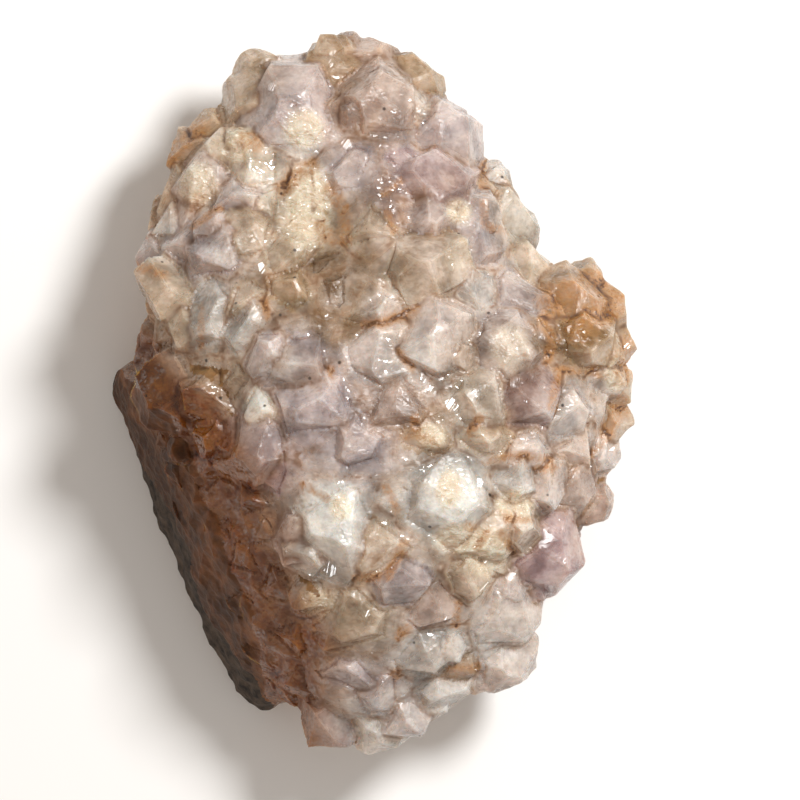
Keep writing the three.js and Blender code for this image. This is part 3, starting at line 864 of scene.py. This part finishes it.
def toneAt(places):
    # The table's tones spread over the cluster, the wider crystals further
    spread = np.zeros((len(places), 3))
    weights = np.full((len(places), 1), 1e-9)
    for tone, x, y, across, *rest in crystals:
        away = (places[:, 0] - x) ** 2 + (places[:, 1] - y) ** 2
        weight = across ** 2 * np.exp(-away / (2 * colouring["blend"] ** 2))[:, None]
        spread += weight * np.array(hexColour(tones[tone])[:3])
        weights += weight
    return spread / weights


def faceTones(centres, owner, faceKind, chance):
    toneOf = np.array([hexColour(tones[body["tone"]])[:3] for body in bodies])
    keeps = np.where(faceKind == 3, 0, colouring["own"])[:, None]
    own = keeps * toneOf[owner] + (1 - keeps) * toneAt(centres)
    own = mix(own, np.array(hexColour(colouring["common"])[:3]), colouring["toCommon"])
    own *= mix(1 - colouring["lightness"], 1 + colouring["lightness"], chance)[:, None]
    own *= np.array(colouring["warmth"])
    own *= mix(1, np.array(colouring["smoky"]), patchShare(centres, smokeMarks)[:, None])
    return np.minimum(own, colouring["lightest"])


def faceMaterials(centres, faceKind):
    # 0 for grown faces, 1 for the broken flank and the underside, 2 for the rind at its foot
    brownAndShade = brownAndShadeShare(centres, brownAndShadeEdge["massive"])
    blended = (brownAndShade >= brownAndShadeEdge["blend"][0]) & (brownAndShade <= brownAndShadeEdge["blend"][1])
    broken = (faceKind == 3) & (wallShare(centres) > 0.5) & ~blended
    angles = np.arctan2(centres[:, 1], centres[:, 0])
    near = 1 - smoothStep(angleOff(angles, crust["rindMiddle"]), *crust["rindEnds"])
    rindTop = mix(*crust["rindTop"], near) * (1 + 0.3 * latticeNoise(centres, 6, 12))
    return np.where(broken & (centres[:, 2] < rindTop), 2, np.where(broken, 1, 0))


def storeStory(mesh):
    # What each finished point and face knows about the crystal it is on, for the materials
    points = read(mesh.attributes["rest"].data, "vector")
    mesh.attributes.remove(mesh.attributes["rest"])
    found = whichBody(points)
    told = {
        "seam": np.clip(found["seam"], 0, 4), "ridge": np.clip(found["ridge"], 0, 4),
        "flash": flashDepth(points, found), "iron": strokeShare(points, ironMarks),
        "frost": patchShare(points, frostMarks), "milk": patchShare(points, milkMarks),
        # Shares of browner quartz with painted shade towards the left flank, for the massive quartz and for
        # the crystals
        "brownAndShade": brownAndShadeShare(points, brownAndShadeEdge["massive"]),
        "umber": brownAndShadeShare(points, brownAndShadeEdge["crystals"]),
    }
    for name, values in told.items():
        storeValues(mesh, name, "FLOAT", "POINT", values)
    corners = read(mesh.loops, "vertex_index", 1, np.int64)
    sizes = read(mesh.polygons, "loop_total", 1, np.int64)
    centres = np.add.reduceat(points[corners], np.cumsum(sizes) - sizes, axis=0) / sizes[:, None]
    onFace = whichBody(centres)
    owner = onFace["body"]
    faceKind = np.full(len(owner), 3)
    for number, body in enumerate(bodies):
        mine = np.flatnonzero((owner == number) & (np.abs(onFace["off"]) < relief["onFace"]))
        faceKind[mine] = body["faceKinds"][onFace["face"][mine]]
    chance = np.array([draw(*body["tip"][:2], 30) for body in bodies])[owner]
    own = faceTones(centres, owner, faceKind, chance)
    storeValues(mesh, "tone", "FLOAT_COLOR", "FACE", np.hstack([own, np.ones((len(own), 1))]))
    storeValues(mesh, "chance", "FLOAT", "FACE", chance)
    storeValues(mesh, "prism", "FLOAT", "FACE", (faceKind == 1) + 2 * (faceKind == 4))
    mesh.polygons.foreach_set("material_index", faceMaterials(centres, faceKind).astype(np.int32))
    ownerOf = owner[np.repeat(np.arange(len(sizes)), sizes)]
    axes, tips = (np.array([body[part] for body in bodies])[ownerOf] for part in ("axis", "tip"))
    storeValues(mesh, "growth", "FLOAT", "CORNER", np.einsum("ij,ij->i", points[corners] - tips, axes))


# The grown faces: sizes and spacings in millimetres, density per metre. The sugary grains
# and the stripes of the bright faces are coarser than the finest real ones, to show in the render.
quartzLook = {
    "milk": "#ebe1d9", "heart": "#f0eee6", "frost": "#f1e3ca", "filmTone": "#bf8f5c", "seamTone": "#85552b",
    "rust": "#b27a3c", "rustCore": "#4f2b14", "speck": "#33231a", "absorb": "#e8cfb8", "density": 30,
    "cloudSize": 6, "veilSize": 1.1, "filmSize": 12, "seamBreak": 3.2, "speckSpacing": 3.2, "scatter": 3.5,
    "sugar": 0.45, "sugarSwirl": 4, "sugarStretch": (0.45, 1, 0.7), "sugarBump": 0.2,
    "stepSpacing": 0.55, "stepBump": 0.1, "stripe": 0.34, "stripeWay": (0.8, -0.5, 0.3),
    "treadRoughness": 0.25, "frosting": 0.75, "seamStain": 0.65, "speckRarity": 0.9,
}

# What a measure becomes: its low and high end, and what these two turn into
quartzRanges = {
    "cloudy": (0.42, 0.72, 0, 0.45), "dense": (0.3, 0.62, 0.45, 0.85), "clearer": (0.35, 0.6, 1.5, 0.6),
    "veiled": (0.3, 0.7, 0.84, 1.12), "gloss": (0.3, 0.7, 0.05, 0.2), "filmy": (0.5, 0.75, 0, 0.25),
    "broken": (0.36, 0.56, 0.2, 1), "beside": (0, 2.4, 0.4, 0), "line": (0.1, 0.6, 1, 0),
    "nearSeam": (0, 1.6, 1.15, 0.75), "grimy": (0.3, 1.4, 0.4, 0), "rust": (0.14, 0.5, 0, 0.8),
    "deep": (0.5, 0.62, 0, 0.85), "edge": (0, 0.5, 0.05, 0), "dull": (0, 0.7, 0.3, 0),
    "dot": (0.08, 0.15, 0.85, 0), "stepShare": (0, 1, 0.3, 1), "uneven": (1, 2, 1, 0.12),
    "glitter": (0, 1, 0.42, 0.9), "tread": (0.4, 0.52, 0, 1), "within": (0, 0.15, 0, 1),
    "clear": (0, 1, 0.4, 0.15),
}


def quartzMaterial():
    # Amethystine quartz, grown faces: glassy, milky inside, so light spreads under the surface
    material, add, place = newMaterial("amethystineQuartz")
    look = quartzLook
    tone = add("Attribute", attribute_name="tone")
    told = {name: add("Attribute", attribute_name=name).outputs["Fac"] for name in (
        "seam", "ridge", "prism", "growth", "iron", "frost", "milk", "chance", "umber", "flash")}
    cloud, veil, film, strewn = (
        add("TexNoise", (place, 1 / (look[size] * mm), detail, roughness)) for size, detail, roughness in (
            ("cloudSize", 3, 0.5), ("veilSize", 3, 0.7), ("filmSize", 2, 0.5), ("seamBreak", 2, 0.5)))
    ranged = {name: add("MapRange", (source, *quartzRanges[name])) for source, names in (
        (cloud, ("cloudy", "dense", "clearer")), (veil, ("veiled", "gloss")), (film, ("filmy",)),
        (strewn, ("broken",)), (told["seam"], ("beside", "line", "nearSeam", "grimy")),
        (told["ridge"], ("edge", "dull")), (told["prism"], ("stepShare", "uneven")),
        (told["frost"], ("glitter",)), (told["flash"], ("within",))) for name in names}

    # Milky clouds and finer veils under the faces, strongest in the milky hearts
    heart = add("Math", (told["milk"], ranged["dense"]), operation="MULTIPLY")
    colour = tone
    for share, name in ((ranged["cloudy"], "milk"), (heart, "heart")):
        colour = add("Mix", (share, colour, hexColour(look[name])), data_type="RGBA")
    colour = add("VectorMath", (colour, ranged["veiled"]), operation="SCALE")

    # Iron: a thin film here and there, dark lines in the seams, and the strokes of rust
    sugared = add("Math", (told["frost"], look["frosting"]), operation="MULTIPLY")
    filmed = add("Math", (ranged["beside"], ranged["broken"], ranged["filmy"]), operation="MULTIPLY_ADD")
    rusty = add("Math", (told["iron"], ranged["broken"]), operation="ADD")
    stain = add("Math", (ranged["line"], rusty), operation="MULTIPLY", use_clamp=True)
    seamed = add("Math", (stain, look["seamStain"]), operation="MULTIPLY")
    marked = add("Math", (ranged["nearSeam"], told["iron"]), operation="MULTIPLY")
    gritty = add("Math", (veil, marked), operation="MULTIPLY")
    rust, deep = (add("MapRange", (gritty, *quartzRanges[name])) for name in ("rust", "deep"))
    crack = add("Math", (ranged["line"], told["iron"]), operation="MULTIPLY")
    dark = add("Math", (crack, ranged["broken"]), operation="MULTIPLY")
    darkest = add("Math", (dark, deep), operation="MAXIMUM")

    # A few dark specks
    dots = add("TexVoronoi", (place, 1 / (look["speckSpacing"] * mm)))
    rare = add("SeparateColor", (dots.outputs["Color"],))
    chosen = add("Math", (rare, look["speckRarity"]), operation="GREATER_THAN")
    dot = add("MapRange", (dots, *quartzRanges["dot"]))
    speck = add("Math", (dot, chosen), operation="MULTIPLY")
    for share, name in (
            (sugared, "frost"), (filmed, "filmTone"), (seamed, "seamTone"), (rust, "rust"),
            (darkest, "rustCore"), (ranged["edge"], "milk"), (speck, "speck")):
        colour = add("Mix", (share, colour, hexColour(look[name])), data_type="RGBA")
    # Crystals towards the left flank are tinted darker and browner: partly iron-stained quartz, partly
    # painted shade
    brownedAndShaded = add("Mix", (told["umber"], colour, (*brownAndShadeEdge["tint"], 1)),
                  data_type="RGBA", blend_type="MULTIPLY")

    # Growth steps across the prism faces, small hillocks on the tip faces, sugar in the frost
    swirl = add("TexNoise", (place, 1 / (look["sugarSwirl"] * mm)))
    swirled = add("VectorMath", (swirl.outputs["Color"], (look["sugarSwirl"] * mm,) * 3, place),
                  operation="MULTIPLY_ADD")
    drawnOut = add("VectorMath", (swirled, look["sugarStretch"]), operation="MULTIPLY")
    grains = add("TexVoronoi", (drawnOut, 1 / (look["sugar"] * mm)))
    along = add("CombineXYZ", (told["growth"], told["chance"]))
    steps = add("TexNoise", {"Vector": along, "Scale": 1 / look["stepSpacing"]})
    stepped = add("Math", (steps, ranged["stepShare"]), operation="MULTIPLY")
    ripple = add("Math", (stepped, look["stepBump"]), operation="MULTIPLY")
    sugar = add("Math", (grains, told["frost"]), operation="MULTIPLY")
    crusty = add("Math", (sugar, look["sugarBump"], ripple), operation="MULTIPLY_ADD")
    fineBump = add("Bump", {"Height": crusty, "Distance": mm})
    turned = add("VectorMath", (grains.outputs["Color"], (0.5, 0.5, 0.5)), operation="SUBTRACT")
    tilts = add("Math", (ranged["glitter"], ranged["uneven"]), operation="MULTIPLY")
    tilt = add("VectorMath", (turned, tilts), operation="SCALE")
    tilted = add("VectorMath", (fineBump, tilt), operation="ADD")

    # The bright faces are stepped: each step's tread stands halfway between the key light and straight up
    stripeWay = Vector(look["stripeWay"]) / (look["stripe"] * mm)
    slant = add("VectorMath", (place, stripeWay), operation="DOT_PRODUCT")
    slanted = add("CombineXYZ", (slant, told["chance"]))
    stripes = add("TexNoise", {"Vector": slanted, "Scale": 1, "Detail": 1})
    tread = add("MapRange", (stripes, *quartzRanges["tread"]))
    flashing = add("Math", (tread, ranged["within"]), operation="MULTIPLY")
    toKey = (Vector(studio["keyPlace"]) - Vector((*view["middle"], view["level"]))).normalized()
    bright = (toKey + Vector((0, 0, 1))).normalized()
    turnedBright = add("Mix", (flashing, tilted, bright), data_type="VECTOR")
    facing = add("VectorMath", (turnedBright,), operation="NORMALIZE")

    # Glossy and half clear: duller by the edges and seams, cloudier where it is milky or stained
    duller = add("Math", (ranged["grimy"], ranged["dull"]), operation="MAXIMUM")
    worn = add("Math", (duller, ranged["gloss"]), operation="ADD")
    rough = add("Mix", (flashing, worn, look["treadRoughness"]), data_type="FLOAT")
    opaque = heart
    for share in (told["frost"], told["umber"], rust):
        opaque = add("Math", (opaque, share), operation="MAXIMUM")
    clear = add("MapRange", (opaque, *quartzRanges["clear"]))
    seeThrough = add("Math", (clear, ranged["clearer"]), operation="MULTIPLY")
    shader = add("BsdfPrincipled", {
        "Base Color": brownedAndShaded, "Roughness": rough, "IOR": 1.544, "Normal": facing,
        "Subsurface Weight": 0.85, "Subsurface Radius": (1, 0.8, 0.65),
        "Subsurface Scale": look["scatter"] * mm, "Transmission Weight": seeThrough})
    absorb = add("VolumeAbsorption", {"Color": hexColour(look["absorb"]), "Density": look["density"]})
    add("OutputMaterial", {"Surface": shader, "Volume": absorb})
    return material


# Broken massive quartz, its colours darkened as painted shade of the flank: sizes in millimetres
massiveLook = {
    "dark": "#41240b", "light": "#8c582c", "pale": "#906f4b", "stain": "#43230f",
    "roughness": 0.38, "clear": 0.2, "scatter": 4,
    "cloudSize": 6, "stainSize": 3.5, "veilSize": 1.8, "grain": 0.9, "grainDepth": 0.3,
    "inner": (0.1, 0.6, 0.9, 0), "clouds": (-0.48, 0.1, 0, 1), "stains": (0.52, 0.75, 0, 0.7),
    "veils": (0.3, 0.7, 0.72, 1.3), "ironStain": 0.15,
}


def massiveMaterial():
    # Massive quartz broken from the rock: uneven shell-shaped faces, waxy and brownish with iron, and darker
    # towards the left edge as painted shade
    material, add, place = newMaterial("ironStainedMassiveQuartzWithPaintedShade")
    look = massiveLook
    iron, brownAndShade = (add("Attribute", attribute_name=name).outputs["Fac"] for name in ("iron", "brownAndShade"))
    cloud, patch, veil, grain = (
        add("TexNoise", (place, 1 / (look[size] * mm), detail, roughness)) for size, detail, roughness in (
            ("cloudSize", 5, 0.6), ("stainSize", 5, 0.7), ("veilSize", 4, 0.65), ("grain", 4, 0.5)))
    # Lighter near the crown and darker towards the left edge: painted shade over the browner quartz
    outer = add("Math", (cloud, brownAndShade), operation="SUBTRACT")
    rusty = add("Math", (iron, look["ironStain"], patch), operation="MULTIPLY_ADD")
    cloudy, inner, stain, veiled = (add("MapRange", (source, *look[name])) for source, name in (
        (outer, "clouds"), (brownAndShade, "inner"), (rusty, "stains"), (veil, "veils")))
    colour = hexColour(look["dark"])
    for share, name in ((cloudy, "light"), (inner, "pale"), (stain, "stain")):
        colour = add("Mix", (share, colour, hexColour(look[name])), data_type="RGBA")
    mottled = add("VectorMath", (colour, veiled), operation="SCALE")
    bump = add("Bump", {"Height": grain, "Strength": 0.5, "Distance": look["grainDepth"] * mm})
    shader = add("BsdfPrincipled", {
        "Base Color": mottled, "Roughness": look["roughness"], "IOR": 1.544, "Specular IOR Level": 0.06,
        "Subsurface Weight": 0.8, "Subsurface Radius": (1, 0.7, 0.5),
        "Subsurface Scale": look["scatter"] * mm, "Transmission Weight": look["clear"], "Normal": bump})
    add("OutputMaterial", {"Surface": shader})
    return material


# The thin rind of altered basalt that the quartz grew on
rindLook = {
    "dark": "#1d1815", "green": "#53473c", "patchSize": 3.5, "patches": (0.36, 0.64, 0, 1),
    "grain": 0.8, "grainDepth": 0.3,
}


def rindMaterial():
    # Weathered basalt with celadonite: dull dark grey-green, fine earthy grain
    material, add, place = newMaterial("weatheredBasaltRind")
    look = rindLook
    patch = add("TexNoise", (place, 1 / (look["patchSize"] * mm), 6, 0.7))
    patchy = add("MapRange", (patch, *look["patches"]))
    mixed = add("Mix", (patchy, hexColour(look["dark"]), hexColour(look["green"])), data_type="RGBA")
    grain = add("TexNoise", (place, 1 / (look["grain"] * mm), 5))
    bump = add("Bump", {"Height": grain, "Strength": 0.7, "Distance": look["grainDepth"] * mm})
    shader = add("BsdfPrincipled", {
        "Base Color": mixed, "Roughness": 0.8, "Specular IOR Level": 0.3, "Normal": bump})
    add("OutputMaterial", {"Surface": shader})
    return material


storeStory(quartz.data)
for finish in (quartzMaterial(), massiveMaterial(), rindMaterial()):
    quartz.data.materials.append(finish)
print("materials made")

grown = np.vstack([body["corners"] for body in bodies if body["inCad"]])
low, high = grown.min(axis=0), grown.max(axis=0)
nodeLow, nodeHigh = (np.array(corner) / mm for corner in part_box("quartz_cluster"))
shift = 0.5 * (nodeLow + nodeHigh - low - high)
shift[2] = 0
print("box of the crystals:", high - low, "box of the solid:", nodeHigh - nodeLow)
setPlaces(quartz.data, (read(quartz.data.vertices, "co") + shift) * mm)
quartz.data.shade_flat()
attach(quartz, "root")
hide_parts("quartz_cluster")


def addLight(name, place, size, power, target, tone):
    lamp = bpy.data.lights.new(name, "AREA")
    lamp.shape = "DISK"
    lamp.size = size * mm
    lamp.energy = power
    lamp.color = hexColour(tone)[:3]
    made = bpy.data.objects.new(name, lamp)
    made.location = Vector(place) * mm
    made.rotation_euler = (Vector(target) * mm - made.location).to_track_quat("-Z", "Y").to_euler()
    bpy.context.scene.collection.objects.link(made)


def buildStudio():
    scene = bpy.context.scene
    world = bpy.data.worlds.new("paleRoom")
    world.use_nodes = True
    world.node_tree.nodes["Background"].inputs["Color"].default_value = hexColour(studio["world"])
    world.node_tree.nodes["Background"].inputs["Strength"].default_value = studio["worldStrength"]
    scene.world = world
    scene.view_settings.view_transform = "Standard"
    scene.cycles.max_bounces = 7          # enough for light to cross a crystal
    scene.cycles.transmission_bounces = 6
    half = 2000
    corners = np.array([(-half, -half, 0), (half, -half, 0), (half, half, 0), (-half, half, 0)])
    floor = newObject("floor", corners * mm, [(0, 1, 2, 3)])
    paint = bpy.data.materials.new("palePaintedBoard")
    paint.use_nodes = True
    shader = paint.node_tree.nodes["Principled BSDF"]
    shader.inputs["Base Color"].default_value = hexColour(studio["floor"])
    shader.inputs["Roughness"].default_value = 0.8
    floor.data.materials.append(paint)
    middle = (*view["middle"], view["level"])
    for name in ("key", "fill"):
        addLight(name + "Softbox", studio[name + "Place"], studio[name + "Size"], studio[name + "Power"],
                 middle, studio[name + "Tone"])
    lens = bpy.data.cameras.new("camera")
    lens.sensor_width = view["sensor"]
    lens.lens = view["sensor"] * view["distance"] / view["span"]
    camera = bpy.data.objects.new("camera", lens)
    camera.location = Vector((view["middle"][0] + shift[0], view["middle"][1] + shift[1],
                              view["level"] + view["distance"])) * mm
    scene.collection.objects.link(camera)
    scene.camera = camera


buildStudio()
